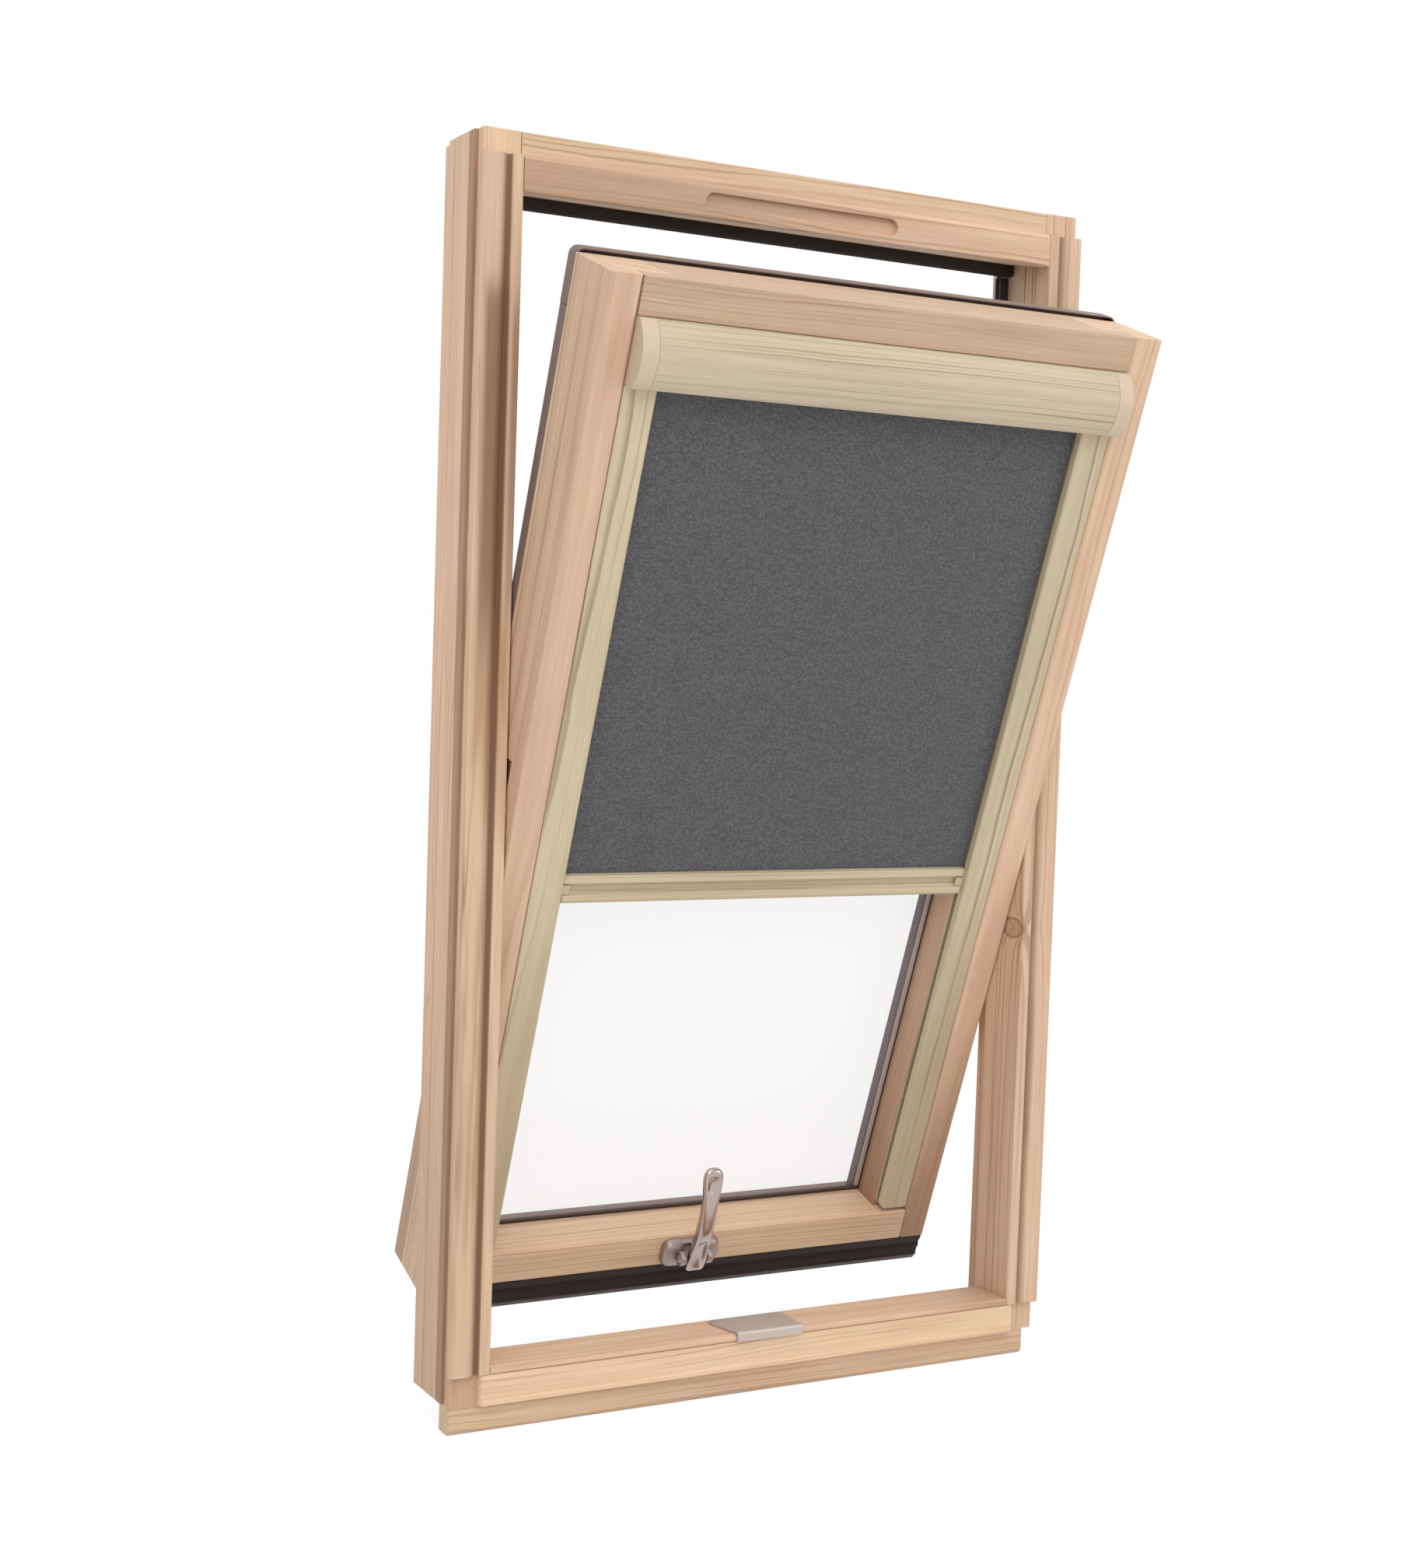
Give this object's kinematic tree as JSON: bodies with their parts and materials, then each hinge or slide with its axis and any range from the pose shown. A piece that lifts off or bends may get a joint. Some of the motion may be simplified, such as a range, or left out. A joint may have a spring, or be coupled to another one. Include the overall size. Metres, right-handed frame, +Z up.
{
  "type": "roof window with roller blind",
  "caption": "Centre-pivot pine roof window tilted open, with a roller blind in side channels, a pull handle and a striker plate.",
  "frame": {"origin": "centre of the underside of the bottom lip board, on the frame's middle plane", "axes": "+X to the right as seen from the room, +Y away from the room, +Z up the frame"},
  "size_m": [0.66, 0.4395, 1.18],
  "materials": {
    "frame_pine": "clear satin lacquer",
    "sash_pine": "clear satin lacquer",
    "gasket_black": "matt",
    "trim_aluminium": "satin",
    "cladding_taupe": "satin paint",
    "drip_brown": "satin paint",
    "nickel": "satin nickel plate",
    "clear_glass": "clear float glass",
    "spacer_metal": "matt",
    "pine_foil": "pine-print foil on aluminium",
    "beige_plastic": "matt moulded",
    "grey_cloth": "coated blackout weave",
    "pile": "brush pile",
    "tube_metal": "mill finish"
  },
  "bodies": {
    "frame": {"frame_stile_left": "frame_pine", "frame_stile_right": "frame_pine", "frame_moulding_left": "frame_pine", "frame_moulding_right": "frame_pine", "frame_head": "frame_pine", "frame_head_moulding": "frame_pine", "frame_sill": "frame_pine", "frame_sill_moulding": "frame_pine", "frame_bottom_lip": "frame_pine", "frame_head_gasket": "gasket_black", "frame_gasket_left": "gasket_black", "frame_gasket_right": "gasket_black", "frame_trim_left": "trim_aluminium", "frame_trim_right": "trim_aluminium", "frame_trim_head": "trim_aluminium", "frame_pivot_plate_left": "nickel", "frame_pivot_plate_right": "nickel", "striker_plate": "nickel"},
    "sash": {"sash_stile_left": "sash_pine", "sash_stile_right": "sash_pine", "sash_top_rail": "sash_pine", "sash_bottom_rail": "sash_pine", "sash_pane_inner": "clear_glass", "sash_pane_outer": "clear_glass", "sash_spacer": "spacer_metal", "sash_glazing_gasket": "gasket_black", "sash_glazing_bead": "cladding_taupe", "sash_cladding_left": "cladding_taupe", "sash_cladding_right": "cladding_taupe", "sash_cladding_top": "cladding_taupe", "sash_cladding_bottom": "cladding_taupe", "sash_outer_seal": "gasket_black", "sash_back_strip_left": "sash_pine", "sash_back_strip_right": "sash_pine", "sash_drip_profile": "drip_brown", "sash_drip_seal": "gasket_black", "sash_pivot_left": "nickel", "sash_pivot_right": "nickel", "handle_base": "nickel", "handle_pin": "nickel", "handle_screw_left": "nickel", "handle_screw_right": "nickel", "blind_cover": "pine_foil", "blind_back_rail": "pine_foil", "blind_cap_left": "beige_plastic", "blind_cap_right": "beige_plastic", "blind_channel_left": "pine_foil", "blind_channel_right": "pine_foil", "blind_brush_left": "pile", "blind_brush_right": "pile", "blind_fabric": "grey_cloth"},
    "roller": {"blind_tube": "tube_metal", "blind_fabric_roll": "grey_cloth", "blind_plug_left": "beige_plastic", "blind_plug_right": "beige_plastic"},
    "hem_bar": {"blind_hem_bar": "pine_foil", "blind_bar_clip_left": "beige_plastic", "blind_bar_clip_right": "beige_plastic"},
    "lever": {"handle_lever": "nickel"}
  },
  "joints": [
    {"name": "sash_pivot", "type": "hinge", "parent": "frame", "child": "sash", "pos_m": [0, 0.043, 0.6054], "axis": [1, 0, 0], "range_deg": [-19.9, 140]},
    {"name": "blind_bar_slide", "type": "slide", "parent": "sash", "child": "hem_bar", "axis": [0, -0.3404, 0.9403], "range_m": [-0.365, 0.455], "deforming": ["blind_fabric"]},
    {"name": "roller_spin", "type": "hinge", "parent": "sash", "child": "roller", "pos_m": [0, -0.18288, 0.97084], "axis": [1, 0, 0], "range_deg": [-1396, 1740]},
    {"name": "handle_turn", "type": "hinge", "parent": "sash", "child": "lever", "pos_m": [-0.007, 0.1166, 0.10242], "axis": [1, 0, 0], "range_deg": [0, 55]}
  ],
  "couplings": [
    {"joint": "roller_spin", "follows": "blind_bar_slide", "rad_per_m": 66.667}
  ]
}
